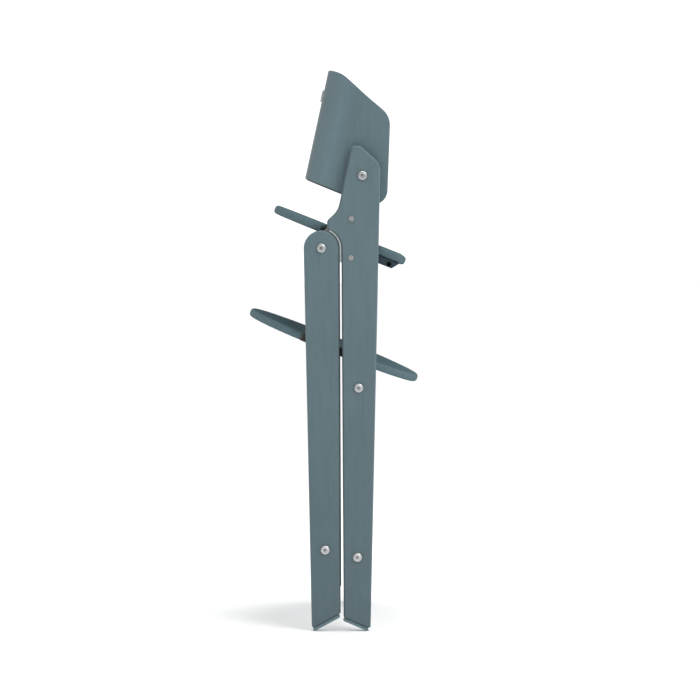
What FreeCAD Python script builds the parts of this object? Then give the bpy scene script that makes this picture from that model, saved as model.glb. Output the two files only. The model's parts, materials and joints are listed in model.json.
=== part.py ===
import FreeCAD, Part
import math
import os

# Folding high chair for a child, drawn folded, standing on its four foot pads.
# +X is the front, +Y the chair's left side, +Z up, all in millimetres.
# Every piece is drawn about the fold axis (x = 0, z = 0), then moved so that the
# origin lies on the floor, midway between the ends of the footrest.

# ---- overall sizes ----
inner_width = 420.0            # clear width between the boards
board_thickness = 20.0
board_roundover = 3.5
open_axis_height = 567.0       # fold axis above the floor when open
front_open_lean = 23.2         # lean of the tall boards when open, degrees
front_low_end = 77.7           # low end of the front pads, forward of the fold axis
rear_low_end = -11.7           # low end of the rear pads, forward of the fold axis

# ---- short boards (rear legs) ----
leg_head_radius = 30.0         # full-round top about the fold axis
leg_rear_taper = 1.22          # degrees from upright
leg_front_taper = 0.26
leg_play = 0.5                 # side gap to the hinge plate, filled by the bush flange

# ---- tall boards (uprights): lines are (normal angle, distance from the fold axis) ----
head_gap = 4.0                 # gap between the leg head and the upright's hollow
upright_rear_taper = 0.35
upright_front_line = (-1.2, 97.2)
hollow_end_angle = 66.0
bump_side_line = (0.0, 9.8)
bump_top_line = (132.7, 27.8)
bump_radius = 7.0
bump_heel_radius = 3.0
waist_radius = 36.0
upright_back_line = (-11.7, 14.65)
upright_top_line = (90.0, 173.8)
upright_shoulder_line = (48.0, 173.2)
upright_back_radius = 8.0
upright_top_radius = 10.0
upright_shoulder_radius = 28.0
board_foot_radius = 3.0

# ---- backrest shell ----
shell_thickness = 10.0
shell_bend_radius = 76.0       # outside radius of the two upright bends
shell_lean = 12.2
shell_back_line = (-shell_lean, -53.1)
shell_crown_line = (74.0, 296.5)
shell_top_line = (49.6, 247.0)
shell_front_line = (-2.1, 108.8)
shell_bottom_line = (248.3, -99.0)
shell_crown_radius = 70.0
shell_top_front_radius = 35.0
shell_bottom_front_radius = 25.0
shell_roundover = 2.5
badge_width = 46.0
badge_height = 22.0
badge_thickness = 4.4
badge_corner = 4.0
badge_top_drop = 30.0          # from the shell's top edge down the back

# ---- seat and footrest plates ----
plate_slope = 21.8             # both plates fall towards the front when folded, degrees
seat_thickness = 15.0
footrest_thickness = 14.0
plate_roundover = 5.5
plate_side_gap = 0.5           # between a plate and the hinge plate beside it
seat_underside = 24.1          # above the fold axis, square to the plate
seat_rear_end = -102.5         # along the plate from the fold axis
seat_front_end = 141.0
seat_rear_curve = 78.0         # depth of the elliptical rear end
seat_front_corner = 18.0
seat_notch_rear = -14.0
seat_notch_front = 92.0
notch_depth = 13.0
notch_corner = 6.0
clamp_gap = 0.3                # between a side clamp and its notch
clamp_end_gap = 5.0
footrest_centre = (20.1, -171.9)   # forward of and above the fold axis
footrest_length = 316.0
footrest_curve = 134.0         # depth of each elliptical end
footrest_notch_rear = -59.0
footrest_notch_front = 66.0
footrest_side_gap = 2.5        # between the footrest's clamps and the boards

# ---- seat rails ----
rail_thickness = 17.0
rail_height = 12.3
rail_rear_end = 34.0
rail_front_foot = 123.5
rail_front_head = 133.0
rail_hole_diameter = 8.5
rail_hole_along = 116.7
rail_hole_drop = 6.6           # below the seat
rail_hole_depth = 13.0
rail_corner = 2.0
rail_screw_spots = (10.0, 24.0)    # from the rail's rear end
seat_screw_spots = (36.0, 67.5)    # from the rail's rear end
seat_screw_offset = 1.5        # inward of the rail's middle

# ---- liners of the uprights' hollows ----
liner_clearance = 0.8          # from the leg head
liner_glue_line = 0.1
liner_recess = 1.5             # behind the board's outer face
liner_roundover = 1.0

# ---- hinge plates ----
hinge_plate_thickness = 4.0
hinge_plate_front = 66.0
hinge_plate_top = 62.0
hinge_plate_foot = -24.0
hinge_plate_head_radius = 26.0
hinge_plate_corner = 5.0
hinge_plate_small_corner = 2.0
hinge_crown_angle = 104.0      # slope of the crown behind the crescent, as a normal angle
hinge_rise_angle = 60.0        # slope of the rise from the crown to the upright's heel
hinge_step = 22.0              # from the upright's rear heel to the tall part of the plate
hinge_step_foot = 12.0         # above the leg head
bush_wall = 2.0
bush_flange_inset = 12.0       # inside the leg head's edge

# ---- fixings ----
bolt_head_diameter = 16.0
bolt_head_height = 3.6
bolt_head_rim = 1.2            # straight part of the head's height
bolt_socket = 4.0
bolt_socket_depth = 2.2
bolt_diameter = 6.0
pivot_diameter = 8.0
running_gap = 0.05             # radial gap round bolts and pins
sleeve_head_diameter = 9.0
sleeve_head_height = 1.6
sleeve_diameter = 7.0
sleeve_slot = 1.2
sleeve_skin = 4.0              # solid metal behind the sleeve nut's slot
sleeve_screw_diameter = 5.0
sleeve_screw_head = 9.0
screw_diameter = 4.0
screw_head_diameter = 7.6
screw_head_height = 2.4
screw_bite = 0.6               # share of a plate's thickness that its screws enter
bolt_tip = 5.0                 # thread beyond the shell's inner face
cap_diameter = 10.0
cap_height = 7.0
cap_flange_diameter = 14.0
cap_flange_height = 2.0
cap_wall = 1.0
nut_width = 13.0
nut_height = 6.5
backrest_bolt_at = (69.6, 123.1)
sleeve_nuts_at = ((51.1, 49.7), (50.4, -16.3))
track_bolt_at = (63.4, -237.3)
front_bar_forward = 61.3       # forward of the fold axis
front_bar_height = 125.3       # above the floor when folded
rear_bar_forward = 6.5
rear_bar_height = 137.8
bar_bolt_reach = 30.0          # from the end of the bar to the middle of the barrel nut
bar_bolt_tip = 8.0             # thread beyond the middle of the barrel nut
bar_bolt_relief = 12.0         # bore beyond the middle of the barrel nut
barrel_diameter = 12.0
barrel_length = 18.0
dowel_diameter = 8.0
dowel_length = 30.0
dowel_drop = 13.0              # below the bolt
bar_height = 40.0
bar_depth = 22.0
bar_roundover = 3.0

# ---- foot pads ----
front_pad_length = 46.0
rear_pad_length = 51.0
pad_side_inset = 1.5           # from each face of the board
pad_tread = 4.5
pad_neck = 1.5
pad_neck_inset = 2.0
pad_end_radius = 2.2

# ---- footrest tracks ----
track_width = 20.0
track_depth = 8.0
track_wall = 2.0
track_top = -142.0
track_foot = -402.0
slider_height = 46.0
slider_gap = 0.3
slider_corner = 2.0
track_screw_margin = 16.0
track_screw_skin = 2.0         # board left beyond the screw tips
footrest_screw_inset = 18.0    # from the ends of the side notch
footrest_screw_bite = 16.0

# ---- latch ----
disc_radius = 20.0
disc_thickness = 3.0
disc_gap = 0.5
disc_notch_depth = 5.0
disc_notch_corner = 1.5
bolt_end = 2.0                 # thread beyond the pivot nut
key_width = 6.0
rod_diameter = 8.0
rod_gap = 0.3
latch_travel = 6.0
guide_inset = 30.0             # inward of the hinge plates
guide_thickness = 3.0
guide_foot_width = 22.0
guide_rear = 9.0
guide_front = 48.0
guide_drop = 9.0
guide_corner = 4.0
guide_screw_inset = 9.0        # from the ends of the bracket's foot
strap_at = 60.0
strap_thickness = 3.0
strap_rim = 3.5                # metal round the rod's hole
strap_corner = 5.0
strap_head_width = 16.0
strap_head_corner = 3.0
handle_half_length = 90.0
handle_rear = 97.0
handle_front = 120.0
handle_height = 9.7
handle_gap = 3.3               # below the seat
handle_corner = 3.5
handle_end_rounding = 2.0
spring_beside_handle = 8.0
spring_width = 12.0
spring_thickness = 1.0
spring_rear = 30.5
spring_front = 44.0
spring_tail = 14.0
spring_head_gap = 3.0
spring_bend = 2.0
spring_heel = 0.4

along_y = FreeCAD.Vector(0, 1, 0)
fold_axis = FreeCAD.Vector(0, 0, 0)
board_inner = inner_width / 2
board_outer = board_inner + board_thickness
hinge_inner = board_inner - hinge_plate_thickness
plate_half_width = hinge_inner - plate_side_gap
leg_inner = board_inner + leg_play
leg_outer = leg_inner + board_thickness
hollow_radius = leg_head_radius + head_gap
pad_height = pad_tread + pad_neck
pad_width = board_thickness - 2 * pad_side_inset
bush_outer = pivot_diameter + 2 * bush_wall
guide_outer = hinge_inner - guide_inset
guide_inner = guide_outer - guide_thickness
handle_head = seat_underside - handle_gap
handle_foot = handle_head - handle_height
disc_outer_face = hinge_inner - disc_gap
disc_inner_face = disc_outer_face - disc_thickness
rod_centre = disc_radius + rod_diameter / 2 + rod_gap
clear = 2 * running_gap        # on a bore's diameter
through = 1.0                  # how far a cutting shape passes the face it opens
tiny = 1e-6                    # two places nearer than this are one
offset_tolerance = 0.01

# Both pads' low ends meet one floor when folded, and both treads one floor when open.
open_end_height = open_axis_height - pad_end_radius
front_lean = math.radians(front_open_lean)
folded_end_height = (open_end_height + front_low_end * math.sin(front_lean)) / math.cos(front_lean)
folded_axis_height = folded_end_height + pad_end_radius
rear_end_reach = math.hypot(rear_low_end, folded_end_height)
rear_end_angle = math.atan2(rear_low_end, folded_end_height)
rear_open_lean = math.degrees(rear_end_angle + math.acos(open_end_height / rear_end_reach))
front_bar_at = (front_bar_forward, front_bar_height - folded_axis_height)
rear_bar_at = (rear_bar_forward, rear_bar_height - folded_axis_height)

sides = {"left": 1, "right": -1}
to_floor = FreeCAD.Vector(-footrest_centre[0], 0, folded_axis_height)


def meet(line_a, line_b):
    """The point where two lines cross; each is (normal angle, distance from the fold axis)."""
    angle_a = math.radians(line_a[0])
    angle_b = math.radians(line_b[0])
    spread = math.sin(angle_b - angle_a)
    x = (line_a[1] * math.sin(angle_b) - line_b[1] * math.sin(angle_a)) / spread
    z = (line_b[1] * math.cos(angle_a) - line_a[1] * math.cos(angle_b)) / spread
    return x, z


def outline(corners):
    """Closed wire in the X-Z plane from (x, z, corner radius) points, with tangent arcs."""
    points = [FreeCAD.Vector(x, 0, z) for x, z, radius in corners]
    count = len(points)
    arcs = []
    for i in range(count):
        corner = points[i]
        before = (points[i - 1] - corner).normalize()
        after = (points[(i + 1) % count] - corner).normalize()
        radius = corners[i][2]
        half = before.getAngle(after) / 2
        run = radius / math.tan(half)
        start = corner + before * run
        end = corner + after * run
        middle_way = (before + after).normalize()
        middle = corner + middle_way * (radius / math.sin(half) - radius)
        arcs.append((start, middle, end, radius))
    edges = []
    for i in range(count):
        start, middle, end, radius = arcs[i]
        if radius > 0:
            edges.append(Part.Arc(start, middle, end).toShape())
        next_start = arcs[(i + 1) % count][0]
        if end.distanceToPoint(next_start) > 1e-4:
            edges.append(Part.LineSegment(end, next_start).toShape())
    return Part.Wire(Part.__sortEdges__(edges))


def slab(corners, y_low, y_high):
    """Prism across the chair between two Y places."""
    face = Part.Face(outline(corners))
    face.translate(FreeCAD.Vector(0, y_low, 0))
    return face.extrude(FreeCAD.Vector(0, y_high - y_low, 0))


def side_slab(corners, side, inner, outer):
    """Prism on one side of the chair, between two distances from its middle."""
    low, high = sorted((side * inner, side * outer))
    return slab(corners, low, high)


def rectangle(x_low, x_high, z_low, z_high, radius=0.0):
    return [
        (x_low, z_low, radius),
        (x_high, z_low, radius),
        (x_high, z_high, radius),
        (x_low, z_high, radius),
    ]


def pin(at, side, inner, outer, diameter):
    """Round bar across the chair on one side, between two distances from its middle."""
    start = FreeCAD.Vector(at[0], side * inner, at[1])
    return Part.makeCylinder(diameter / 2, outer - inner, start, FreeCAD.Vector(0, side, 0))


def lies_at(edge, y):
    box = edge.BoundBox
    return abs(box.YMin - y) < tiny and abs(box.YMax - y) < tiny


def round_edges(solid, radius, y_places):
    """Round over the outline edges that lie in the given Y planes."""
    edges = [edge for edge in solid.Edges if any(lies_at(edge, y) for y in y_places)]
    return solid.makeFillet(radius, edges)


def along_plate(s, n):
    """From plate measures (forward along it, square above the fold axis) to X and Z."""
    slope = math.radians(plate_slope)
    return s * math.cos(slope) + n * math.sin(slope), n * math.cos(slope) - s * math.sin(slope)


def on_plate(corners):
    return [along_plate(s, n) + (radius,) for s, n, radius in corners]


def tilt(shape):
    """Turn a shape drawn level, X forward, to the slope of the plates."""
    turned = shape.copy()
    turned.rotate(fold_axis, along_y, plate_slope)
    return turned


def save(name, shape):
    placed = shape.copy()
    placed.translate(to_floor)
    placed.exportStep("parts/" + name + ".step")


# ---- fixings ----

def hexagon(at, side, inner, outer, width):
    """Six-sided bar across the chair on one side, of a given width across its flats."""
    radius = width / math.sqrt(3)
    points = []
    for step in range(7):
        turn = math.radians(60 * step)
        x = at[0] + radius * math.cos(turn)
        z = at[1] + radius * math.sin(turn)
        points.append(FreeCAD.Vector(x, side * inner, z))
    return Part.Face(Part.makePolygon(points)).extrude(FreeCAD.Vector(0, side * (outer - inner), 0))


def button_bolt(at, side, head_face, length, diameter):
    """Domed bolt with a hexagon socket, its head on the outer face."""
    shank = pin(at, side, head_face - length, head_face, diameter)
    top = head_face + bolt_head_height
    head = pin(at, side, head_face, top, bolt_head_diameter)
    top_edges = [edge for edge in head.Edges if lies_at(edge, side * top)]
    head = head.makeFillet(bolt_head_height - bolt_head_rim, top_edges)
    socket = hexagon(at, side, top - bolt_socket_depth, top + through, bolt_socket)
    return shank.fuse(head).cut(socket).removeSplitter()


def hex_nut(at, side, inner, height, width, bore):
    """Hexagon nut with its bore along Y."""
    nut = hexagon(at, side, inner, inner + height, width)
    return nut.cut(pin(at, side, inner - through, inner + height + through, bore))


def flat_screw(start, direction, length):
    """Countersunk wood screw; start is the middle of its head's flat face."""
    head = Part.makeCone(screw_head_diameter / 2, screw_diameter / 2, screw_head_height, start, direction)
    return head.fuse(Part.makeCylinder(screw_diameter / 2, length, start, direction)).removeSplitter()


def screw_seat(start, direction, length):
    """The hole that a countersunk screw sits in."""
    gap = running_gap
    head_radius = screw_head_diameter / 2 + gap
    shank_radius = screw_diameter / 2 + gap
    head = Part.makeCone(head_radius, shank_radius, screw_head_height, start, direction)
    return head.fuse(Part.makeCylinder(shank_radius, length + gap, start, direction))


# ---- lines of the boards ----

def cut_line(lean_angle):
    """The line of a board's foot cut, which is level when the chair stands open."""
    return lean_angle, open_axis_height - pad_height


front_cut_line = cut_line(270 - front_open_lean)
rear_cut_line = cut_line(270 + rear_open_lean)


def upright_corners():
    rear_line = (upright_rear_taper, hollow_radius)
    hollow_line = (hollow_end_angle, hollow_radius)
    return [
        meet(front_cut_line, rear_line) + (board_foot_radius,),
        meet(rear_line, hollow_line) + (hollow_radius,),
        meet(hollow_line, bump_side_line) + (bump_heel_radius,),
        meet(bump_side_line, bump_top_line) + (bump_radius,),
        meet(bump_top_line, upright_back_line) + (waist_radius,),
        meet(upright_back_line, upright_top_line) + (upright_back_radius,),
        meet(upright_top_line, upright_shoulder_line) + (upright_top_radius,),
        meet(upright_shoulder_line, upright_front_line) + (upright_shoulder_radius,),
        meet(upright_front_line, front_cut_line) + (board_foot_radius,),
    ]


def leg_corners():
    front_line = (leg_front_taper, leg_head_radius)
    top_line = (90.0, leg_head_radius)
    rear_line = (180.0 + leg_rear_taper, leg_head_radius)
    return [
        meet(rear_cut_line, rear_line) + (board_foot_radius,),
        meet(rear_line, top_line) + (leg_head_radius,),
        meet(top_line, front_line) + (leg_head_radius,),
        meet(front_line, rear_cut_line) + (board_foot_radius,),
    ]


# ---- front frame ----

def track_space(side):
    x = track_bolt_at[0]
    half = track_width / 2
    corners = rectangle(x - half, x + half, track_foot, track_top)
    return side_slab(corners, side, board_inner - through, board_inner + track_depth)


def dowel_at(bar_at):
    return bar_at[0], bar_at[1] - dowel_drop


def upright(side):
    board = side_slab(upright_corners(), side, board_inner, board_outer)
    board = round_edges(board, board_roundover, (side * board_inner, side * board_outer))
    inner = board_inner - through
    outer = board_outer + through
    holes = [pin(at, side, inner, outer, bolt_diameter + clear)
             for at in (backrest_bolt_at, track_bolt_at, front_bar_at)]
    holes += [pin(at, side, inner, outer, sleeve_diameter + clear) for at in sleeve_nuts_at]
    dowel_end = board_inner + dowel_length / 2
    holes.append(pin(dowel_at(front_bar_at), side, inner, dowel_end, dowel_diameter + clear))
    holes.append(track_space(side))
    for start, direction in track_screw_places(side):
        holes.append(screw_seat(start, direction, track_screw_length()))
    return board.cut(Part.makeCompound(holes))


def liner_corners():
    """Strip along the hollow, from the upright's heel down to the hinge plate's foot."""
    outer = hollow_radius - liner_glue_line
    inner = leg_head_radius + liner_clearance
    foot_line = (270.0, -hinge_plate_foot)
    end = math.radians(hollow_end_angle)
    return [
        meet((upright_rear_taper, outer), foot_line) + (0.0,),
        meet((upright_rear_taper, outer), (hollow_end_angle, outer)) + (outer,),
        (outer * math.cos(end), outer * math.sin(end), 0.0),
        (inner * math.cos(end), inner * math.sin(end), 0.0),
        meet((upright_rear_taper, inner), (hollow_end_angle, inner)) + (inner,),
        meet((upright_rear_taper, inner), foot_line) + (0.0,),
    ]


def gap_liner(side):
    """Pale strip that lines the upright's hollow, so that no finger fits beside the leg."""
    outer = board_outer - liner_recess
    liner = side_slab(liner_corners(), side, board_inner, outer)
    return round_edges(liner, liner_roundover, (side * outer,))


def shell_side_corners():
    return [
        meet(shell_back_line, shell_bottom_line) + (0.0,),
        meet(shell_bottom_line, shell_front_line) + (shell_bottom_front_radius,),
        meet(shell_front_line, shell_top_line) + (shell_top_front_radius,),
        meet(shell_top_line, shell_crown_line) + (shell_crown_radius,),
        meet(shell_crown_line, shell_back_line) + (0.0,),
    ]


def shell_skin():
    """The bent outer surface of the backrest, long and deep enough to be trimmed."""
    reach = 2 * shell_crown_line[1]
    radius = shell_bend_radius
    half = board_inner
    lean = math.radians(shell_lean)
    forward = FreeCAD.Vector(math.cos(lean), 0, -math.sin(lean))
    upward = FreeCAD.Vector(math.sin(lean), 0, math.cos(lean))
    back = forward * shell_back_line[1]
    across = half - radius
    turn = radius * (1 - math.sqrt(0.5))
    points = {}
    for name, side in sides.items():
        points[name] = (
            back + forward * reach + along_y * (side * half),
            back + forward * radius + along_y * (side * half),
            back + forward * turn + along_y * (side * (half - turn)),
            back + along_y * (side * across),
        )
    left = points["left"]
    right = points["right"]
    edges = [
        Part.LineSegment(left[0], left[1]).toShape(),
        Part.Arc(left[1], left[2], left[3]).toShape(),
        Part.LineSegment(left[3], right[3]).toShape(),
        Part.Arc(right[3], right[2], right[1]).toShape(),
        Part.LineSegment(right[1], right[0]).toShape(),
    ]
    return Part.Wire(edges).extrude(upward * reach)


def is_rim(edge):
    """True for the shell's long edges, other than the upright seams beside its bends."""
    if edge.Length < 1.5 * shell_thickness:
        return False
    start = edge.valueAt(edge.FirstParameter)
    end = edge.valueAt(edge.LastParameter)
    lean = math.radians(shell_lean)
    climb = (end - start).dot(FreeCAD.Vector(math.sin(lean), 0, math.cos(lean)))
    return abs(climb) < edge.Length - tiny


def backrest_shell():
    """Moulded sheet with all its edges cut square to it."""
    trim = slab(shell_side_corners(), -inner_width, inner_width)
    skin = Part.Shell(shell_skin().common(trim).Faces)
    solid = skin.makeOffsetShape(shell_thickness, offset_tolerance, False, False, 0, 0, True)
    solid = Part.Solid(solid.Shells[0])
    solid = solid.makeFillet(shell_roundover, [edge for edge in solid.Edges if is_rim(edge)])
    inner = board_inner - 2 * shell_thickness
    holes = [pin(backrest_bolt_at, side, inner, board_inner + through, bolt_diameter + clear)
             for side in sides.values()]
    return solid.cut(Part.makeCompound(holes))


def back_badge():
    """Plain plate on the middle of the shell's back."""
    half_width = badge_width / 2
    plate = slab(rectangle(-half_width, half_width, -badge_height, 0, badge_corner), -badge_thickness, 0)
    plate.rotate(fold_axis, FreeCAD.Vector(0, 0, 1), -90)
    plate.rotate(fold_axis, along_y, shell_lean)
    top_x, top_z = meet(shell_crown_line, shell_back_line)
    lean = math.radians(shell_lean)
    x = top_x - badge_top_drop * math.sin(lean)
    z = top_z - badge_top_drop * math.cos(lean)
    plate.translate(FreeCAD.Vector(x, 0, z))
    return plate


def notch(rear, front, side, half_width, thickness):
    """Side notch through a level plate, with round inner corners."""
    inner = half_width - notch_depth
    start = FreeCAD.Vector(rear, inner, -thickness)
    block = Part.makeBox(front - rear, notch_depth + through, thickness * 3, start)
    inner_edges = [edge for edge in block.Edges
                   if edge.BoundBox.ZLength > thickness and lies_at(edge, inner)]
    block = block.makeFillet(notch_corner, inner_edges)
    return block if side > 0 else block.mirror(fold_axis, along_y)


def half_ellipse(at, depth, half_width, way):
    side_end = FreeCAD.Vector(at, -way * half_width, 0)
    far_end = FreeCAD.Vector(at + way * depth, 0, 0)
    ellipse = Part.Ellipse(side_end, far_end, FreeCAD.Vector(at, 0, 0))
    return Part.ArcOfEllipse(ellipse, 0, math.pi).toShape()


def round_plate(solid):
    """Round over the top and bottom outline of a level plate."""
    edges = [edge for edge in solid.Edges if edge.BoundBox.ZLength < tiny]
    return solid.makeFillet(plate_roundover, edges)


def seat_plate():
    half = plate_half_width
    rear_at = seat_rear_end + seat_rear_curve
    corner = seat_front_corner
    turn = corner * (1 - math.sqrt(0.5))
    front = seat_front_end
    edges = [half_ellipse(rear_at, seat_rear_curve, half, -1)]
    vector = FreeCAD.Vector
    for side in sides.values():
        rear_end = vector(rear_at, side * half, 0)
        corner_start = vector(front - corner, side * half, 0)
        corner_middle = vector(front - turn, side * (half - turn), 0)
        corner_end = vector(front, side * (half - corner), 0)
        edges.append(Part.LineSegment(rear_end, corner_start).toShape())
        edges.append(Part.Arc(corner_start, corner_middle, corner_end).toShape())
    front_left = vector(front, half - corner, 0)
    front_right = vector(front, corner - half, 0)
    edges.append(Part.LineSegment(front_left, front_right).toShape())
    plate = Part.Face(Part.Wire(Part.__sortEdges__(edges))).extrude(vector(0, 0, seat_thickness))
    for side in sides.values():
        plate = plate.cut(notch(seat_notch_rear, seat_notch_front, side, half, seat_thickness))
    plate = round_plate(plate)
    plate.translate(vector(0, 0, seat_underside))
    places = seat_screw_places() + guide_screw_places(1) + guide_screw_places(-1)
    return tilt(plate).cut(Part.makeCompound([screw_seat(*place) for place in places]))


def side_clamp(rear, front, side, inner, outer, thickness):
    """Black clamp in a plate's side notch, drawn level with its underside at 0."""
    low, high = sorted((side * inner, side * outer))
    block = Part.makeBox(front - rear, high - low, thickness, FreeCAD.Vector(rear, low, 0))
    ends = [edge for edge in block.Edges if edge.BoundBox.ZLength > thickness / 2]
    return block.makeFillet(notch_corner, ends)


def seat_clamp(side):
    inner = plate_half_width - notch_depth + clamp_gap
    rear = seat_notch_rear + clamp_end_gap
    front = seat_notch_front - clamp_gap
    clamp = side_clamp(rear, front, side, inner, plate_half_width, seat_thickness)
    clamp.translate(FreeCAD.Vector(0, 0, seat_underside))
    return tilt(clamp).cut(Part.makeCompound([screw_seat(*place) for place in seat_screw_places()]))


def rail_screw_places(side):
    """Screws from the hinge plate's outer face into the seat rail."""
    middle = seat_underside - rail_height / 2
    places = []
    for spot in rail_screw_spots:
        x, z = along_plate(rail_rear_end + spot, middle)
        place = FreeCAD.Vector(x, side * board_inner, z)
        places.append((place, FreeCAD.Vector(0, -side, 0), rail_thickness))
    return places


def seat_screw_places():
    """Screws from the rails' undersides up into the seat plate."""
    slope = math.radians(plate_slope)
    up = FreeCAD.Vector(math.sin(slope), 0, math.cos(slope))
    y = hinge_inner - rail_thickness / 2 - seat_screw_offset
    length = rail_height + seat_thickness * screw_bite
    places = []
    for side in sides.values():
        for spot in seat_screw_spots:
            x, z = along_plate(rail_rear_end + spot, seat_underside - rail_height)
            places.append((FreeCAD.Vector(x, side * y, z), up, length))
    return places


def seat_rail(side):
    outer = hinge_inner
    foot = seat_underside - rail_height
    corners = on_plate([
        (rail_rear_end, foot, rail_corner),
        (rail_front_foot, foot, rail_corner),
        (rail_front_head, seat_underside, 0.0),
        (rail_rear_end, seat_underside, 0.0),
    ])
    rail = side_slab(corners, side, outer - rail_thickness, outer)
    hole_at = along_plate(rail_hole_along, seat_underside - rail_hole_drop)
    cuts = [pin(hole_at, side, outer - rail_hole_depth, outer + through, rail_hole_diameter)]
    cuts += [screw_seat(*place) for place in rail_screw_places(side)]
    cuts += [screw_seat(*place) for place in seat_screw_places()]
    return rail.cut(Part.makeCompound(cuts))


def hinge_plate_corners():
    head = hinge_plate_head_radius
    corner = hinge_plate_corner
    small = hinge_plate_small_corner
    heel = bump_side_line[1]
    rear_line = (180.0, head)
    crown_line = (hinge_crown_angle, head)
    rise_line = (hinge_rise_angle, leg_head_radius + small)
    return [
        meet(rear_line, (270.0, -hinge_plate_foot)) + (corner,),
        (hinge_plate_front, hinge_plate_foot, corner),
        (hinge_plate_front, hinge_plate_top, corner),
        (heel + hinge_step, hinge_plate_top, corner),
        (heel + small, leg_head_radius + hinge_step_foot, small),
        meet(rise_line, (0.0, heel - small)) + (small,),
        meet(crown_line, (0.0, small)) + (small,),
        meet(crown_line, rear_line) + (head,),
    ]


def hinge_plate(side):
    plate = side_slab(hinge_plate_corners(), side, hinge_inner, board_inner)
    inner = hinge_inner - through
    outer = board_inner + through
    cuts = [pin((0, 0), side, inner, outer, bush_outer + clear)]
    cuts += [pin(at, side, inner, outer, sleeve_screw_diameter + clear) for at in sleeve_nuts_at]
    cuts += [screw_seat(*place) for place in rail_screw_places(side)]
    return plate.cut(Part.makeCompound(cuts))


def pivot_bush(side):
    """Nylon bush in the hinge plate, its thin flange between the plate and the leg."""
    flange_diameter = 2 * (leg_head_radius - bush_flange_inset)
    body = pin((0, 0), side, hinge_inner, leg_inner, bush_outer)
    body = body.fuse(pin((0, 0), side, board_inner, leg_inner, flange_diameter))
    bore = pin((0, 0), side, hinge_inner - through, leg_inner + through, pivot_diameter + clear)
    return body.cut(bore).removeSplitter()


def sleeve_nut(at, side):
    """Slotted sleeve nut from the board's outer face through to the hinge plate."""
    body = pin(at, side, board_inner, board_outer, sleeve_diameter)
    head = pin(at, side, board_outer, board_outer + sleeve_head_height, sleeve_head_diameter)
    half = sleeve_slot / 2
    reach = sleeve_head_diameter
    top = board_outer + sleeve_head_height
    corners = rectangle(at[0] - half, at[0] + half, at[1] - reach, at[1] + reach)
    slot = side_slab(corners, side, top - sleeve_head_height / 2, top + through)
    bore = pin(at, side, board_inner - through, board_outer - sleeve_skin, sleeve_screw_diameter + clear)
    return body.fuse(head).cut(slot).cut(bore).removeSplitter()


def sleeve_screw(at, side):
    """Pan-head screw from inside the hinge plate into the sleeve nut."""
    head = pin(at, side, hinge_inner - screw_head_height, hinge_inner, sleeve_screw_head)
    tip = board_outer - 1.5 * sleeve_skin
    return head.fuse(pin(at, side, hinge_inner, tip, sleeve_screw_diameter)).removeSplitter()


def backrest_nut(side):
    """Cap nut against the inside of the shell's wing."""
    outer = board_inner - shell_thickness
    flange = pin(backrest_bolt_at, side, outer - cap_flange_height, outer, cap_flange_diameter)
    cap = pin(backrest_bolt_at, side, outer - cap_height, outer, cap_diameter)
    bore_end = outer - cap_height + cap_wall
    bore = pin(backrest_bolt_at, side, bore_end, outer + through, bolt_diameter + clear)
    return flange.fuse(cap).cut(bore).removeSplitter()


def crossbar(at, half_length, way):
    """Bar between two boards, bored at both ends for its bolts, barrel nuts and dowels.

    way is the X direction that the barrel nuts' holes open towards.
    """
    half_depth = bar_depth / 2
    half_height = bar_height / 2
    corners = rectangle(at[0] - half_depth, at[0] + half_depth, at[1] - half_height, at[1] + half_height,
                        bar_roundover)
    bar = slab(corners, -half_length, half_length)
    reach = half_length - bar_bolt_reach
    end = half_length + through
    cuts = []
    for side in sides.values():
        cuts.append(pin(at, side, reach - bar_bolt_relief, end, bolt_diameter + clear))
        cuts.append(barrel(at, side, reach, barrel_diameter + clear, half_depth + through, way))
        cuts.append(pin(dowel_at(at), side, half_length - dowel_length / 2, end, dowel_diameter + clear))
    return bar.cut(Part.makeCompound(cuts))


def barrel(at, side, y, diameter, open_reach, way):
    """Round bar along X in the crossbar, from its blind end to its open end."""
    start = FreeCAD.Vector(at[0] - way * barrel_length / 2, side * y, at[1])
    length = barrel_length / 2 + open_reach
    return Part.makeCylinder(diameter / 2, length, start, FreeCAD.Vector(way, 0, 0))


def barrel_nut(at, side, half_length, way):
    reach = half_length - bar_bolt_reach
    body = barrel(at, side, reach, barrel_diameter, barrel_length / 2, way)
    return body.cut(pin(at, side, reach - barrel_diameter, reach + barrel_diameter, bolt_diameter + clear))


def bar_bolt(at, side, head_face, half_length):
    length = head_face - half_length + bar_bolt_reach + bar_bolt_tip
    return button_bolt(at, side, head_face, length, bolt_diameter)


def dowel(at, side, half_length):
    where = dowel_at(at)
    return pin(where, side, half_length - dowel_length / 2, half_length + dowel_length / 2, dowel_diameter)


def foot_pad(side, low_end, lean, way, inner, length):
    """Glide under a board's foot cut: a narrower neck and a tread with round ends.

    It is drawn as it stands when open, then swung to the folded position.
    way is +1 where the low end is at the front, -1 where it is at the rear.
    """
    turn = math.radians(way * lean)
    end_centre = low_end * math.cos(turn) + folded_end_height * math.sin(turn)
    tip = end_centre + way * pad_end_radius
    rear, front = sorted((tip, tip - way * length))
    sole = -open_axis_height
    ankle = sole + pad_tread
    tread_inner = inner + pad_side_inset
    tread_outer = tread_inner + pad_width
    tread = side_slab(rectangle(rear, front, sole, ankle, pad_end_radius), side, tread_inner, tread_outer)
    neck = side_slab(rectangle(rear + pad_neck_inset, front - pad_neck_inset, ankle, sole + pad_height),
                     side, tread_inner + pad_neck_inset, tread_outer - pad_neck_inset)
    pad = tread.fuse(neck).removeSplitter()
    pad.rotate(fold_axis, along_y, way * lean)
    return pad


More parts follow.
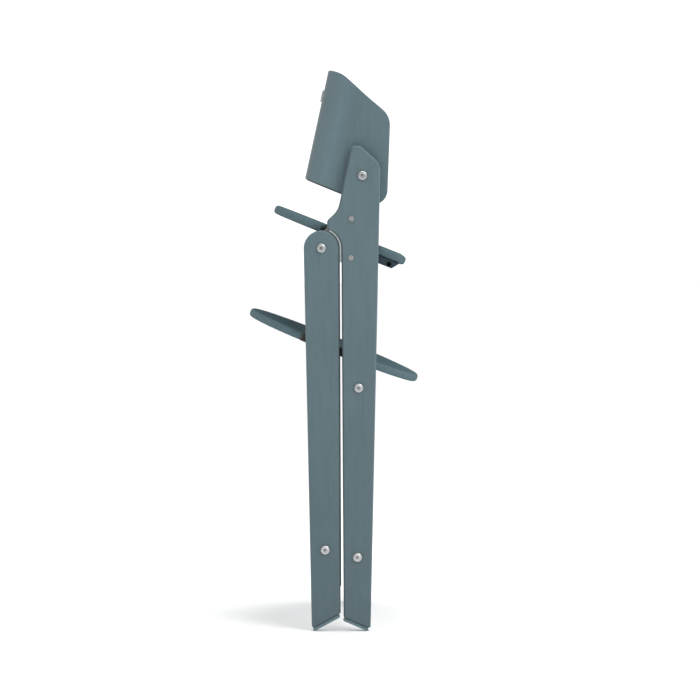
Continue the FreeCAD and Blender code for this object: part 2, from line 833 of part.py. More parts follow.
def track_screw_places(side):
    """Flat screws through the track's base into the board, near its two ends."""
    base = board_inner + track_depth - track_wall
    return [(FreeCAD.Vector(track_bolt_at[0], side * base, z), FreeCAD.Vector(0, side, 0))
            for z in (track_top - track_screw_margin, track_foot + track_screw_margin)]


def track_screw_length():
    return board_thickness - track_depth - track_screw_skin + track_wall


def footrest_track(side):
    """Aluminium channel let into the board's inner face, open towards the footrest."""
    x = track_bolt_at[0]
    half = track_width / 2
    slot = half - track_wall
    base = board_inner + track_depth
    body = side_slab(rectangle(x - half, x + half, track_foot, track_top), side, board_inner, base)
    channel = side_slab(rectangle(x - slot, x + slot, track_foot - through, track_top + through),
                        side, board_inner - through, base - track_wall)
    cuts = [channel, pin(track_bolt_at, side, board_inner, board_outer, bolt_diameter + clear)]
    for start, direction in track_screw_places(side):
        cuts.append(screw_seat(start, direction, track_screw_length()))
    return body.cut(Part.makeCompound(cuts))


# ---- footrest ----

def footrest_drawn_level():
    x, z = footrest_centre
    slope = math.radians(plate_slope)
    along = x * math.cos(slope) - z * math.sin(slope)
    above = x * math.sin(slope) + z * math.cos(slope)
    return FreeCAD.Vector(along, 0, above - footrest_thickness / 2)


def footrest_screw_places(side):
    """Screws from the clamp's edge into the footrest, drawn level about its middle."""
    outer = board_inner - footrest_side_gap
    length = outer - plate_half_width + notch_depth + footrest_screw_bite
    inward = FreeCAD.Vector(0, -side, 0)
    places = []
    for along in (footrest_notch_rear + footrest_screw_inset, footrest_notch_front - footrest_screw_inset):
        places.append((FreeCAD.Vector(along, side * outer, footrest_thickness / 2), inward, length))
    return places


def footrest_plate():
    half = plate_half_width
    straight = footrest_length / 2 - footrest_curve
    vector = FreeCAD.Vector
    edges = [half_ellipse(way * straight, footrest_curve, half, way) for way in (-1, 1)]
    for side in sides.values():
        rear_end = vector(-straight, side * half, 0)
        front_end = vector(straight, side * half, 0)
        edges.append(Part.LineSegment(rear_end, front_end).toShape())
    plate = Part.Face(Part.Wire(Part.__sortEdges__(edges))).extrude(vector(0, 0, footrest_thickness))
    for side in sides.values():
        plate = plate.cut(notch(footrest_notch_rear, footrest_notch_front, side, half, footrest_thickness))
    plate = round_plate(plate)
    for side in sides.values():
        plate = plate.cut(Part.makeCompound([screw_seat(*place) for place in footrest_screw_places(side)]))
    plate.translate(footrest_drawn_level())
    return tilt(plate)


def footrest_clamp(side):
    inner = plate_half_width - notch_depth + clamp_gap
    outer = board_inner - footrest_side_gap
    rear = footrest_notch_rear + clamp_gap
    front = footrest_notch_front - clamp_gap
    clamp = side_clamp(rear, front, side, inner, outer, footrest_thickness)
    clamp = clamp.cut(Part.makeCompound([screw_seat(*place) for place in footrest_screw_places(side)]))
    clamp.translate(footrest_drawn_level())
    return tilt(clamp)


def footrest_clamp_screws():
    screws = []
    for side in sides.values():
        for place in footrest_screw_places(side):
            screw = flat_screw(*place)
            screw.translate(footrest_drawn_level())
            screws.append(tilt(screw))
    return Part.makeCompound(screws)


def footrest_slider(side):
    """Block that runs in the track, fixed to the footrest's side clamp."""
    x = track_bolt_at[0]
    slope = math.radians(plate_slope)
    z = footrest_centre[1] - (x - footrest_centre[0]) * math.tan(slope)
    half = track_width / 2 - track_wall - slider_gap
    corners = rectangle(x - half, x + half, z - slider_height / 2, z + slider_height / 2, slider_corner)
    outer = board_inner + track_depth - track_wall - slider_gap
    return side_slab(corners, side, board_inner - footrest_side_gap, outer)


# ---- rear frame ----

def rear_leg(side):
    board = side_slab(leg_corners(), side, leg_inner, leg_outer)
    board = round_edges(board, board_roundover, (side * leg_inner, side * leg_outer))
    inner = leg_inner - through
    outer = leg_outer + through
    holes = [
        pin((0, 0), side, inner, outer, pivot_diameter + clear),
        pin(rear_bar_at, side, inner, outer, bolt_diameter + clear),
        pin(dowel_at(rear_bar_at), side, inner, leg_inner + dowel_length / 2, dowel_diameter + clear),
    ]
    return board.cut(Part.makeCompound(holes))


def key_cut(side, inner, outer, gap):
    """Flats that key the lock disc to the pivot bolt."""
    half = key_width / 2 + gap
    wide = pivot_diameter
    keep = side_slab(rectangle(-half, half, -wide, wide), side, inner, outer)
    return side_slab(rectangle(-wide, wide, -wide, wide), side, inner, outer).cut(keep)


def pivot_bolt(side):
    """Bolt through the leg and the bush; the leg, its bolt and its lock disc turn together."""
    tip = disc_inner_face - nut_height - bolt_end
    bolt = button_bolt((0, 0), side, leg_outer, leg_outer - tip, pivot_diameter)
    return bolt.cut(key_cut(side, disc_inner_face, disc_outer_face, 0.0))


def lock_disc(side):
    """Steel disc with the notch that the latch rod drops into when the chair is open."""
    inner = disc_inner_face - through
    outer = disc_outer_face + through
    disc = pin((0, 0), side, disc_inner_face, disc_outer_face, 2 * disc_radius)
    bore = pin((0, 0), side, inner, outer, pivot_diameter + clear)
    bore = bore.cut(key_cut(side, inner, outer, running_gap))
    half = rod_diameter / 2 + rod_gap
    notch_floor = disc_radius - disc_notch_depth
    corners = rectangle(notch_floor, disc_radius + disc_notch_depth, -half, half, disc_notch_corner)
    notch_cut = side_slab(corners, side, inner, outer)
    notch_angle = front_open_lean + rear_open_lean - plate_slope
    notch_cut.rotate(fold_axis, along_y, -notch_angle)
    return disc.cut(bore).cut(notch_cut)


def pivot_nut(side):
    inner = disc_inner_face - nut_height
    return hex_nut((0, 0), side, inner, nut_height, nut_width, pivot_diameter + clear)


# ---- latch ----

def rod_place():
    return along_plate(rod_centre, 0)


def latch_rod():
    x, z = rod_place()
    start = FreeCAD.Vector(x, -disc_outer_face, z)
    return Part.makeCylinder(rod_diameter / 2, 2 * disc_outer_face, start, along_y)


def latch_guide(side):
    """Angle bracket under the seat, slotted for the travel of the latch rod."""
    web_corners = [
        (guide_rear, -guide_drop, guide_corner),
        (guide_front, -guide_drop, guide_corner),
        (guide_front, seat_underside, 0.0),
        (guide_rear, seat_underside, 0.0),
    ]
    half = rod_diameter / 2 + rod_gap
    slot_corners = rectangle(rod_centre - half, rod_centre + latch_travel + half, -half, half, half)
    foot_corners = rectangle(guide_rear, guide_front, seat_underside - guide_thickness, seat_underside)
    web = side_slab(on_plate(web_corners), side, guide_inner, guide_outer)
    slot = side_slab(on_plate(slot_corners), side, guide_inner - through, guide_outer + through)
    foot = side_slab(on_plate(foot_corners), side, guide_inner - guide_foot_width, guide_inner)
    bracket = web.cut(slot).fuse(foot).removeSplitter()
    return bracket.cut(Part.makeCompound([screw_seat(*place) for place in guide_screw_places(side)]))


def guide_screw_places(side):
    """Screws up through the bracket's foot into the seat."""
    slope = math.radians(plate_slope)
    up = FreeCAD.Vector(math.sin(slope), 0, math.cos(slope))
    y = side * (guide_inner - guide_foot_width / 2)
    length = guide_thickness + seat_thickness * screw_bite
    places = []
    for along in (guide_rear + guide_screw_inset, guide_front - guide_screw_inset):
        x, z = along_plate(along, seat_underside - guide_thickness)
        places.append((FreeCAD.Vector(x, y, z), up, length))
    return places


def pull_strap(side):
    """Flat link from the latch rod up to the release handle."""
    x, z = rod_place()
    reach = rod_diameter / 2 + strap_rim
    half_head = strap_head_width / 2
    corners = on_plate([
        (rod_centre - reach, -reach, strap_corner),
        (rod_centre + reach, -reach, strap_corner),
        (handle_rear, handle_foot, strap_head_corner),
        (handle_rear + half_head, handle_foot, 0.0),
        (handle_rear + half_head, handle_head, 0.0),
        (handle_rear - half_head, handle_head, strap_head_corner),
        (rod_centre - reach, reach, strap_corner),
    ])
    outer = strap_at + strap_thickness
    strap = side_slab(corners, side, strap_at, outer)
    return strap.cut(pin((x, z), side, strap_at - through, outer + through, rod_diameter + clear))


def release_handle():
    """Plastic grip bar under the front of the seat, slotted for the two straps."""
    corners = rectangle(handle_rear, handle_front, handle_foot, handle_head, handle_corner)
    half = handle_half_length
    bar = round_edges(slab(on_plate(corners), -half, half), handle_end_rounding, (-half, half))
    straps = [pull_strap(side) for side in sides.values()]
    return bar.cut(Part.makeCompound(straps))


def latch_spring(side):
    """Bent flat spring on the rod's front side, drawn free of the seat."""
    rear = rod_centre + rod_diameter / 2
    foot = -rod_diameter / 2
    heel = foot + 2 * spring_thickness
    head = seat_underside - spring_head_gap
    top = head + spring_thickness
    corners = [
        (rear, foot, 0.0),
        (spring_rear, foot, spring_heel),
        (spring_front, head, spring_bend),
        (spring_front + spring_tail, head, 0.0),
        (spring_front + spring_tail, top, 0.0),
        (spring_front - spring_thickness, top, spring_bend),
        (spring_rear - spring_thickness, heel, spring_heel),
        (rear, heel, 0.0),
    ]
    inner = handle_half_length + spring_beside_handle
    return side_slab(on_plate(corners), side, inner, inner + spring_width)


def on_both_sides(make, places):
    """One node's solids: the same piece at each place on both sides."""
    return Part.makeCompound([make(place, side) for side in sides.values() for place in places])


def screws_at(places):
    return Part.makeCompound([flat_screw(*place) for place in places])


def backrest_bolt(at, side):
    length = board_thickness + shell_thickness + bolt_tip
    return button_bolt(at, side, board_outer, length, bolt_diameter)


def track_bolt(at, side):
    length = board_thickness - track_depth + track_wall
    return button_bolt(at, side, board_outer, length, bolt_diameter)


def save_bar(name, bar_at, way, half_length, head_face):
    """A crossbar with its bolts, barrel nuts and dowels."""
    save(name + "_crossbar", crossbar(bar_at, half_length, way))
    save(name + "_bar_bolts", Part.makeCompound([bar_bolt(bar_at, side, head_face, half_length)
                                                 for side in sides.values()]))
    save(name + "_barrel_nuts", Part.makeCompound([barrel_nut(bar_at, side, half_length, way)
                                                   for side in sides.values()]))
    save(name + "_dowels", Part.makeCompound([dowel(bar_at, side, half_length) for side in sides.values()]))


os.makedirs("parts", exist_ok=True)
side_pieces = {
    "upright_": upright,
    "seat_rail_": seat_rail,
    "seat_clamp_": seat_clamp,
    "hinge_plate_": hinge_plate,
    "footrest_track_": footrest_track,
    "latch_guide_": latch_guide,
    "gap_liner_": gap_liner,
    "footrest_clamp_": footrest_clamp,
    "footrest_slider_": footrest_slider,
    "rear_leg_": rear_leg,
    "lock_disc_": lock_disc,
    "pull_strap_": pull_strap,
}
for side_name, side in sides.items():
    for piece_name, make in side_pieces.items():
        save(piece_name + side_name, make(side))
    save("front_foot_pad_" + side_name,
         foot_pad(side, front_low_end, front_open_lean, 1, board_inner, front_pad_length))
    save("rear_foot_pad_" + side_name,
         foot_pad(side, rear_low_end, rear_open_lean, -1, leg_inner, rear_pad_length))

single_pieces = {
    "backrest_shell": backrest_shell,
    "back_badge": back_badge,
    "seat_plate": seat_plate,
    "footrest_plate": footrest_plate,
    "footrest_clamp_screws": footrest_clamp_screws,
    "latch_rod": latch_rod,
    "release_handle": release_handle,
}
for piece_name, make in single_pieces.items():
    save(piece_name, make())

paired_pieces = {
    "pivot_bushes": pivot_bush,
    "backrest_nuts": backrest_nut,
    "pivot_bolts": pivot_bolt,
    "pivot_nuts": pivot_nut,
    "latch_springs": latch_spring,
}
for piece_name, make in paired_pieces.items():
    save(piece_name, Part.makeCompound([make(side) for side in sides.values()]))

save("sleeve_nuts", on_both_sides(sleeve_nut, sleeve_nuts_at))
save("sleeve_screws", on_both_sides(sleeve_screw, sleeve_nuts_at))
save("backrest_bolts", on_both_sides(backrest_bolt, [backrest_bolt_at]))
save("track_bolts", on_both_sides(track_bolt, [track_bolt_at]))
save("track_screws", screws_at([place + (track_screw_length(),)
                                for side in sides.values() for place in track_screw_places(side)]))
save("rail_screws", screws_at(rail_screw_places(1) + rail_screw_places(-1)))
save("seat_screws", screws_at(seat_screw_places()))
save("guide_screws", screws_at(guide_screw_places(1) + guide_screw_places(-1)))
save_bar("front", front_bar_at, -1, board_inner, board_outer)
save_bar("rear", rear_bar_at, 1, leg_inner, leg_outer)
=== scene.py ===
import json
import math

import bpy
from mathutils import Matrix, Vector


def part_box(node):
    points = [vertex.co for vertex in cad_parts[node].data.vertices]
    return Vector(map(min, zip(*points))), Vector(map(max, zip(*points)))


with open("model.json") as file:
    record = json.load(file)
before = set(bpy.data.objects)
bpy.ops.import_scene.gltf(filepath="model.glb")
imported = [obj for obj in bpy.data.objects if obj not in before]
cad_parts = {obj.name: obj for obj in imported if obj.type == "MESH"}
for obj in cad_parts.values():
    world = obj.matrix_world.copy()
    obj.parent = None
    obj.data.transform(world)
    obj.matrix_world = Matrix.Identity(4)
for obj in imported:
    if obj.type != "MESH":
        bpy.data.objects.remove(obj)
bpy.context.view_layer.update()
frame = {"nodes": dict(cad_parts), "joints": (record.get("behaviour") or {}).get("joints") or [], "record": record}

# Folding high chair, stored folded, seen from its right side. Metres, +X front, +Z up.

def linear(*levels):
    # 0-255 screen levels to linear light
    def one(level):
        share = level / 255
        return share / 12.92 if share <= 0.04045 else ((share + 0.055) / 1.055) ** 2.4
    return tuple(one(level) for level in levels) + (1.0,)


def direction(degrees):
    # unit vector in the side plane, measured from +X towards +Z
    turn = math.radians(degrees)
    return (math.cos(turn), 0.0, math.sin(turn))


class Wire:
    # a socket that can be added, multiplied and so on
    def __init__(self, shade, socket):
        self.shade = shade
        self.socket = socket

    def sum(self, operation, a, b):
        made = self.shade.node("Math", {"operation": operation}, {0: a, 1: b})
        return Wire(self.shade, made.outputs[0])

    def __add__(self, other):
        return self.sum("ADD", self, other)

    def __radd__(self, other):
        return self.sum("ADD", other, self)

    def __sub__(self, other):
        return self.sum("SUBTRACT", self, other)

    def __rsub__(self, other):
        return self.sum("SUBTRACT", other, self)

    def __mul__(self, other):
        return self.sum("MULTIPLY", self, other)

    def __rmul__(self, other):
        return self.sum("MULTIPLY", other, self)

    def __truediv__(self, other):
        return self.sum("DIVIDE", self, other)

    def __rtruediv__(self, other):
        return self.sum("DIVIDE", other, self)

    def __pow__(self, other):
        return self.sum("POWER", self, other)

    def size(self):
        return self.sum("ABSOLUTE", self, 0.0)

    def sign(self):
        return self.sum("SIGN", self, 0.0)

    def share(self):
        # what is left above the whole number
        return self.sum("FRACT", self, 0.0)

    def within(self, other):
        # the remainder after as many whole steps as fit
        return self.sum("FLOORED_MODULO", self, other)

    def atLeast(self, other):
        return self.sum("MAXIMUM", self, other)

    def atMost(self, other):
        return self.sum("MINIMUM", self, other)

    def step(self, low, high):
        # 0 below low, 1 above high, eased between; high may be the smaller
        settings = {"interpolation_type": "SMOOTHSTEP", "clamp": True}
        made = self.shade.node("MapRange", settings, {0: self, 1: low, 2: high, 3: 0.0, 4: 1.0})
        return Wire(self.shade, made.outputs[0])

    def between(self, low, high):
        # 0-1 to low-high
        return self * (high - low) + low


class Shade:
    # one material while it is being wired
    def __init__(self, name, **constants):
        self.material = bpy.data.materials.new(name)
        self.material.use_nodes = True
        self.tree = self.material.node_tree
        self.surface = self.tree.nodes["Principled BSDF"]
        place = self.node("TexCoord")
        self.place = Wire(self, place.outputs["Object"])
        self.facing = Wire(self, place.outputs["Normal"])
        for key, value in constants.items():
            self.surface.inputs[key.replace("_", " ")].default_value = value

    def node(self, kind, settings=None, values=None):
        made = self.tree.nodes.new("ShaderNode" + kind)
        for key, value in (settings or {}).items():
            setattr(made, key, value)
        for key, value in (values or {}).items():
            self.feed(made.inputs[key], value)
        return made

    def feed(self, socket, value):
        if isinstance(value, Wire):
            self.tree.links.new(value.socket, socket)
        else:
            socket.default_value = value

    def dot(self, vector, axis):
        made = self.node("VectorMath", {"operation": "DOT_PRODUCT"}, {0: vector, 1: axis})
        return Wire(self, made.outputs["Value"])

    def scaled(self, vector, factors):
        made = self.node("VectorMath", {"operation": "MULTIPLY"}, {0: vector, 1: factors})
        return Wire(self, made.outputs["Vector"])

    def vector(self, x, y, z):
        made = self.node("CombineXYZ", {}, {0: x, 1: y, 2: z})
        return Wire(self, made.outputs[0])

    def noise(self, vector, scale=1.0, detail=3.0, roughness=0.55, distortion=0.0):
        values = {"Vector": vector, "Scale": scale, "Detail": detail,
                  "Roughness": roughness, "Distortion": distortion}
        return Wire(self, self.node("TexNoise", {}, values).outputs[0])

    def cells(self, vector, scale=1.0):
        made = self.node("TexVoronoi", {"feature": "F1"}, {"Vector": vector, "Scale": scale})
        return Wire(self, made.outputs["Distance"])

    def mix(self, factor, a, b):
        made = self.node("Mix", {"data_type": "RGBA"}, {0: factor, 6: a, 7: b})
        return Wire(self, made.outputs[2])

    def shaded(self, colour, factor):
        # a colour made lighter or darker by a grey value
        grey = self.vector(factor, factor, factor)
        settings = {"data_type": "RGBA", "blend_type": "MULTIPLY"}
        made = self.node("Mix", settings, {0: 1.0, 6: colour, 7: grey})
        return Wire(self, made.outputs[2])

    def finish(self, colour, roughness, height=None, lift=0.0001, strength=1.0):
        self.feed(self.surface.inputs["Base Color"], colour)
        self.feed(self.surface.inputs["Roughness"], roughness)
        if height is not None:
            bump = self.node("Bump", {}, {"Height": height, "Distance": lift, "Strength": strength})
            self.feed(self.surface.inputs["Normal"], Wire(self, bump.outputs["Normal"]))
        return self.material


def wear(nodes, material):
    # put one material on every slot of the named CAD pieces
    for name in nodes:
        for slot in frame["nodes"][name].material_slots:
            slot.material = material


def named(*starts):
    return [name for name in frame["nodes"] if name.startswith(starts)]


boardLook = {
    "colour": (88, 108, 114),
    "streak": 0.13,         # light and dark of the broad grain
    "fleck": 0.12,          # dark of the fine pores
    "roughness": (0.52, 0.66),
    "edgeWearAndHighlight": 0.10,       # how much lighter the rounded edges are: painted highlight, partly scuffed wear
    "paintedFloorShade": 0.14,      # painted shade: how much darker the boards are near the floor
    "innerShade": 0.38,     # painted shade: how much darker the edges are that face the other pair of boards
}


grainLook = {
    "fineSqueeze": 0.045,   # size of a streak across the grain over its length
    "broadSqueeze": 0.10,
    "broadScale": 150.0,
    "fineScale": 520.0,
    "poreScale": 1500.0,
    "pores": (0.60, 0.74),
    "patchScale": 5.5,
}


def grainPlace(shade, along, squeeze=grainLook["fineSqueeze"]):
    # the place squeezed along the grain, so that noise becomes streaks
    factors = tuple(squeeze if axis == along else 1.0 for axis in "xyz")
    return shade.scaled(shade.place, factors)


def stainedColour(shade, look, along):
    # the stain with its streaks and pores, and the height of the grain
    place = grainPlace(shade, along)
    wavy = grainPlace(shade, along, grainLook["broadSqueeze"])
    broad = shade.noise(wavy, scale=grainLook["broadScale"], detail=4.0, distortion=0.7)
    fine = shade.noise(place, scale=grainLook["fineScale"], detail=3.0, roughness=0.7)
    pores = shade.noise(place, scale=grainLook["poreScale"], detail=2.0).step(*grainLook["pores"])
    patch = shade.noise(shade.place, scale=grainLook["patchScale"], detail=2.0)
    tone = (broad - 0.5) * look["streak"] * 2 + (fine - 0.5) * look["streak"] * 1.2
    tone = tone + (patch - 0.5) * look["streak"] + 1.0 - pores * look["fleck"]
    colour = shade.shaded(linear(*look["colour"]), tone)
    return colour, fine * 0.5 - pores, broad


def stainedBoard(name, look, along, faceAxis=(0.0, 1.0, 0.0), innerWay=0.0):
    shade = Shade(name, Specular_IOR_Level=0.35, Coat_Weight=0.04, Coat_Roughness=0.4)
    colour, grain, broad = stainedColour(shade, look, along)
    flat = shade.dot(shade.facing, faceAxis).size()
    rounded = (flat * (1.0 - flat) * 4.0).step(0.35, 1.0)      # only on the roundovers
    scuffs = shade.noise(shade.place, scale=70.0, detail=4.0).step(0.45, 0.7)
    # roundovers lighter: painted highlight, broken up by scuffed wear
    colour = shade.shaded(colour, rounded * (scuffs * 0.6 + 0.4) * look["edgeWearAndHighlight"] + 1.0)
    height = shade.dot(shade.place, (0.0, 0.0, 1.0))
    # painted shade: the boards darker towards the floor
    colour = shade.shaded(colour, height.step(0.75, 0.0) * -look["paintedFloorShade"] + 1.0)
    if look["innerShade"]:
        # painted shade on the edges that face the narrow gap
        inner = shade.dot(shade.facing, (innerWay, 0.0, 0.0)).step(0.15, 0.6)
        colour = shade.shaded(colour, inner * -look["innerShade"] + 1.0)
    low, high = look["roughness"]
    roughness = broad.between(low, high) - rounded * 0.06
    return shade.finish(colour, roughness, grain, lift=0.00012, strength=0.35)


wear(named("upright_"), stainedBoard("uprightStain", boardLook, "z", innerWay=-1.0))
wear(named("rear_leg_"), stainedBoard("legStain", boardLook, "z", innerWay=1.0))

barLook = dict(boardLook, colour=(84, 104, 110), streak=0.1, innerShade=0.0)
barStain = stainedBoard("barStain", barLook, "y", (1.0, 0.0, 0.0))
wear(named("front_crossbar", "rear_crossbar"), barStain)

# painted shade: the rails get a much darker copy of the board stain for their place under the seat
railShadedLook = dict(
    boardLook, colour=(34, 52, 60), streak=0.09, edgeWearAndHighlight=0.05, paintedFloorShade=0.0, innerShade=0.0)
wear(named("seat_rail_"), stainedBoard("railShadedStain", railShadedLook, "x"))
print("boards, bars and rails stained")


plyLook = {
    "colour": (90, 110, 116),
    "edge": (58, 76, 82),
    "glue": (32, 42, 46),
    "layers": 9,
    "streak": 0.10,
    "fleck": 0.09,
    "roughness": (0.50, 0.64),
}


def plySurface(shade, look, colour, height, broad, edge, depth):
    # edge: 1 on cut edges. depth: 0 to 1 through the sheet
    wave = shade.noise(shade.place, scale=60.0, detail=2.0) * 0.25
    band = depth * look["layers"] + wave
    line = (band.share() - 0.5).size().step(0.36, 0.48)
    across = band.within(2.0).step(0.9, 1.1)     # every other layer lies across
    fibres = shade.noise(shade.place, scale=1400.0, detail=3.0, roughness=0.7)
    voids = shade.noise(shade.place, scale=210.0, detail=2.0).step(0.62, 0.7) * across
    cut = shade.shaded(linear(*look["edge"]), (fibres - 0.5) * 0.35 + across * 0.14 + 0.97)
    cut = shade.mix(line * 0.55, cut, linear(*look["glue"]))
    cut = shade.mix(voids * 0.6, cut, linear(*look["glue"]))
    low, high = look["roughness"]
    roughness = broad.between(low, high) + edge * 0.14
    bumps = height * (1.0 - edge) + (fibres * 0.5 - line - voids) * edge
    return shade.finish(shade.mix(edge, colour, cut), roughness, bumps, lift=0.00015, strength=0.4)


foldAxis = Vector(next(joint for joint in frame["joints"] if joint["name"] == "fold")["pos_m"])
plateSlope = 21.8           # degrees, lower at the front
plateUp = direction(90 - plateSlope)


def flatPly(name, look):
    # underside: distance of the lower face from the fold axis, square to the plate
    shade = Shade(name, Specular_IOR_Level=0.0)
    colour, height, broad = stainedColour(shade, look, "x")
    # painted shade: the faces that look up are made darker
    upper = shade.dot(shade.facing, plateUp).step(0.75, 0.97)
    colour = shade.shaded(colour, upper * -look["topShade"] + 1.0)
    start = look["underside"] + foldAxis.dot(Vector(plateUp))
    depth = (shade.dot(shade.place, plateUp) - start) / look["thickness"]
    edge = shade.dot(shade.facing, plateUp).size().step(0.8, 0.45)
    return plySurface(shade, look, colour, height, broad, edge, depth)


seatLook = dict(
    plyLook, colour=(84, 104, 110), edge=(90, 109, 115), streak=0.14, layers=11, topShade=0.08,
    underside=0.0241, thickness=0.015)
footrestLook = dict(
    plyLook, colour=(84, 104, 110), edge=(92, 111, 117), layers=9, topShade=0.10,
    underside=-0.15915, thickness=0.014)
wear(["seat_plate"], flatPly("seatPly", seatLook))
wear(["footrest_plate"], flatPly("footrestPly", footrestLook))

shellSize = {
    "lean": 12.2, "back": -0.0531, "bend": 0.076, "halfWidth": 0.21, "thickness": 0.010,
}


def bentPly(name, look, size):
    shade = Shade(name, Specular_IOR_Level=0.22, Coat_Weight=0.03, Coat_Roughness=0.4)
    colour, height, broad = stainedColour(shade, look, "z")
    forward = direction(-size["lean"])
    backAt = size["back"] + foldAxis.dot(Vector(forward)) + size["bend"]
    sideways = shade.dot(shade.place, (0.0, 1.0, 0.0))
    ahead = (shade.dot(shade.place, forward) - backAt).atMost(0.0)
    out = (sideways.size() - (size["halfWidth"] - size["bend"])).atLeast(0.0)
    reach = (ahead * ahead + out * out) ** 0.5
    depth = (size["bend"] - reach) / size["thickness"]
    # how square the surface is to the sheet: its facing along the bend's own normal
    hand = sideways.sign()
    faceAhead = shade.dot(shade.facing, forward)
    faceOut = shade.dot(shade.facing, (0.0, 1.0, 0.0)) * hand
    square = ((faceAhead * ahead + faceOut * out) / reach).size()
    edge = square.step(0.93, 0.6)
    bendWay = ahead / size["bend"]
    # painted light: a lighter band along the side of the bend
    band = (1.0 - (bendWay + look["litBandAt"]).size() / look["litBandWidth"]).atLeast(0.0)
    # painted shade: darker at the top of the shell and at the rear edge of the bend
    crown = shade.dot(shade.place, (0.0, 0.0, 1.0)).step(0.82, 0.91)
    backEdge = bendWay.step(-0.8, -1.0)
    tone = band * look["band"] - backEdge * look["backShade"] - crown * look["crownShade"] + 1.0
    colour = shade.shaded(colour, tone)
    return plySurface(shade, look, colour, height, broad, edge, depth)


shellLook = dict(
    plyLook, layers=7, edge=(60, 78, 84),
    band=0.20, litBandAt=0.55, litBandWidth=0.30,      # painted light: lighter band on the side of the bend
    backShade=0.22, crownShade=0.04)
wear(["backrest_shell"], bentPly("shellPly", shellLook, shellSize))
print("plywood layered")


def metal(name, colour, roughness, grain="z", brushed=0.0):
    shade = Shade(name, Metallic=1.0)
    place = grainPlace(shade, grain) if brushed else shade.place
    scratch = shade.noise(place, scale=2600.0, detail=3.0, roughness=0.7)
    cloud = shade.noise(shade.place, scale=160.0, detail=3.0)
    low, high = roughness
    tone = (cloud - 0.5) * 0.14 + (scratch - 0.5) * 0.10 + 1.0
    shine = cloud.between(low, high) + (scratch - 0.5) * brushed
    return shade.finish(shade.shaded(linear(*colour), tone), shine, scratch, 0.00003, 0.25)


def boltHead(node, look):
    # turned rim with painted shade, a painted highlight on the dome and a painted shadow in the socket, around the
    # middle of one pair of bolts
    shade = Shade(node + "Nickel", Metallic=1.0)
    low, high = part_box(node)
    middle = [(a + b) / 2 for a, b in zip(low, high)]
    aside = shade.dot(shade.place, (1.0, 0.0, 0.0)) - middle[0]
    above = shade.dot(shade.place, (0.0, 0.0, 1.0)) - middle[2]
    reach = (aside * aside + above * above) ** 0.5
    socket = reach.step(look["socket"] * 1.15, look["socket"] * 0.85)
    rim = reach.step(look["rim"] * 0.8, look["rim"])
    rings = shade.noise(shade.vector(reach, 0.0, 0.0), scale=3800.0, detail=2.0)
    cloud = shade.noise(shade.place, scale=420.0, detail=4.0)
    # painted highlight on the upper dome, painted shade towards the rim
    paintedHighlight = ((above + aside * 0.4) / look["rim"]).step(0.0, 0.9) * (1.0 - rim)
    tone = 1.0 + paintedHighlight * look["paintedHighlight"] - rim * look["rimShade"]
    tone = tone + (cloud - 0.5) * 0.35 + (rings - 0.5) * 0.15
    colour = shade.shaded(linear(*look["colour"]), tone.atLeast(0.05))
    # painted shadow in the upper side of the socket
    shadowed = socket * ((above - aside) / look["socket"]).step(-0.6, 0.6)
    colour = shade.mix(shadowed * 0.8, colour, linear(*look["socketShadowColour"]))
    return shade.finish(colour, cloud.between(0.24, 0.42) + socket * 0.2, rings, 0.00003, 0.3)


def plastic(name, colour, roughness, pebble=0.35):
    shade = Shade(name)
    grain = shade.cells(shade.place, 1700.0)
    cloud = shade.noise(shade.place, scale=90.0, detail=4.0)
    low, high = roughness
    tone = shade.shaded(linear(*colour), (cloud - 0.5) * 0.16 + grain * 0.06 + 0.97)
    return shade.finish(tone, cloud.between(low, high), grain, 0.00006, pebble)


finishes = {
    "nickel_fixings": metal("satinNickel", (172, 172, 172), (0.26, 0.40)),
    "zinc_steel": metal("zincSteel", (170, 172, 174), (0.34, 0.5)),
    "zinc_plate": metal("zincPlate", (196, 196, 195), (0.36, 0.5), "x", 0.12),
    "track_aluminium": metal("anodised", (186, 188, 190), (0.34, 0.46), "z", 0.12),
    "badge_metal": metal("brushedBadge", (205, 205, 203), (0.3, 0.42), "y", 0.16),
    "black_plastic": plastic("blackPlastic", (27, 27, 28), (0.42, 0.58)),
    "pad_plastic": plastic("padPlastic", (98, 119, 126), (0.5, 0.66)),
    "liner_plastic": plastic("linerPlastic", (163, 168, 170), (0.5, 0.62), 0.2),
    "white_nylon": plastic("nylon", (214, 213, 206), (0.38, 0.5), 0.2),
}

beechLook = {
    "colour": (196, 158, 112), "streak": 0.12, "fleck": 0.2, "roughness": (0.55, 0.7),
    "edgeWearAndHighlight": 0.0, "paintedFloorShade": 0.0, "innerShade": 0.0,
}
finishes["bare_beech"] = stainedBoard("bareBeech", beechLook, "y")

for entry in frame["record"]["subparts"]:
    if entry["material_slot"] in finishes:
        wear([entry["node"]], finishes[entry["material_slot"]])

boltLook = {
    "colour": (182, 183, 184),
    "socketShadowColour": (84, 87, 89),
    "socket": 0.0025,       # radius
    "rim": 0.0080,
    "rimShade": 0.35,
    "paintedHighlight": 0.5,
}
for node in ("backrest_bolts", "pivot_bolts", "front_bar_bolts", "rear_bar_bolts", "track_bolts"):
    wear([node], boltHead(node, boltLook))
print("metal and plastic done")


floorLook = {"colour": (253, 253, 253), "size": 60.0, "mottle": 0.006}


def makeFloor(look):
    half = look["size"] / 2
    corners = [(-half, -half, 0.0), (half, -half, 0.0), (half, half, 0.0), (-half, half, 0.0)]
    mesh = bpy.data.meshes.new("floor")
    mesh.from_pydata(corners, [], [(0, 1, 2, 3)])
    piece = bpy.data.objects.new("floor", mesh)
    bpy.context.scene.collection.objects.link(piece)
    shade = Shade("floorPaint")
    soft = shade.noise(shade.place, scale=3.0, detail=3.0)
    tone = shade.shaded(linear(*look["colour"]), (soft - 0.5) * look["mottle"] + 1.0)
    mesh.materials.append(shade.finish(tone, soft.between(0.85, 0.95)))


makeFloor(floorLook)

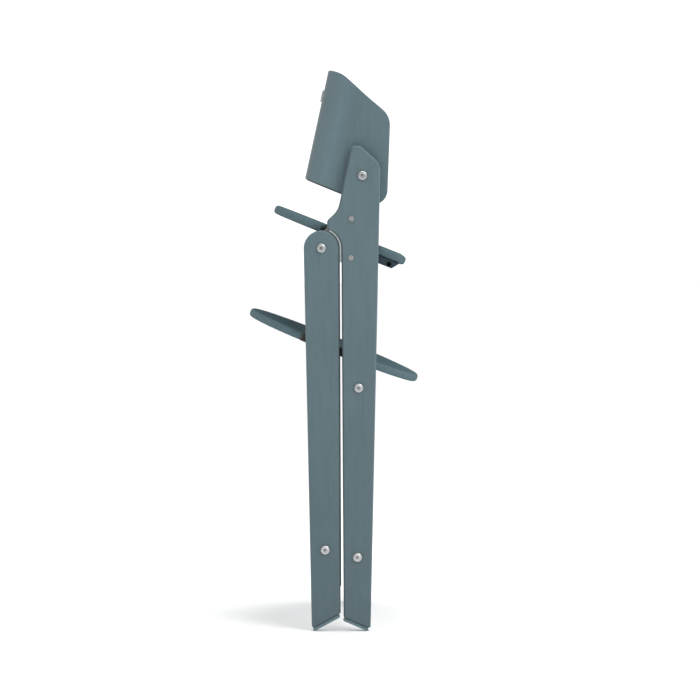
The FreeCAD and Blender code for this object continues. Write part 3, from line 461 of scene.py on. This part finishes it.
lights = {
    # name: place, aimed at, size, watts
    "keySoftbox": ((2.2, -3.0, 3.2), (0.0, 0.0, 0.5), 2.0, 60.0),
    "topSoftbox": ((0.3, -0.2, 3.2), (0.0, 0.0, 0.4), 2.4, 30.0),
}


def aim(piece, place, target):
    piece.location = place
    piece.rotation_euler = (Vector(target) - Vector(place)).to_track_quat("-Z", "Y").to_euler()


for name, (place, target, size, watts) in lights.items():
    lamp = bpy.data.lights.new(name, "AREA")
    lamp.shape = "DISK"
    lamp.size = size
    lamp.energy = watts
    piece = bpy.data.objects.new(name, lamp)
    bpy.context.scene.collection.objects.link(piece)
    aim(piece, place, target)

# brightness of the two ends of the room, and where along Y it turns from one to the other
room = {"behindCamera": 0.43, "behindChair": 1.19, "fade": (-0.6, -0.3)}
world = bpy.data.worlds.new("studio")
world.use_nodes = True
nodes = world.node_tree.nodes
links = world.node_tree.links
way = nodes.new("ShaderNodeTexCoord")
split = nodes.new("ShaderNodeSeparateXYZ")
fade = nodes.new("ShaderNodeMapRange")
fade.interpolation_type = "SMOOTHSTEP"
fade.inputs["From Min"].default_value, fade.inputs["From Max"].default_value = room["fade"]
fade.inputs["To Min"].default_value = room["behindCamera"]
fade.inputs["To Max"].default_value = room["behindChair"]
links.new(way.outputs["Generated"], split.inputs[0])
links.new(split.outputs["Y"], fade.inputs["Value"])
links.new(fade.outputs[0], nodes["Background"].inputs["Strength"])
nodes["Background"].inputs["Color"].default_value = (1.0, 1.0, 1.0, 1.0)
bpy.context.scene.world = world
bpy.context.scene.view_settings.view_transform = "Standard"

cameraLook = {
    "place": (0.0285, -6.26, 0.708), "pitch": -0.8, "lens": 183.0, "sensor": 36.0, "shift": -0.1234,
}
camera = bpy.data.cameras.new("camera")
camera.lens = cameraLook["lens"]
camera.sensor_width = cameraLook["sensor"]
camera.shift_y = cameraLook["shift"]
viewer = bpy.data.objects.new("camera", camera)
viewer.location = cameraLook["place"]
viewer.rotation_euler = (math.radians(90 + cameraLook["pitch"]), 0.0, 0.0)
bpy.context.scene.collection.objects.link(viewer)
bpy.context.scene.camera = viewer
print("floor, lights and camera set")
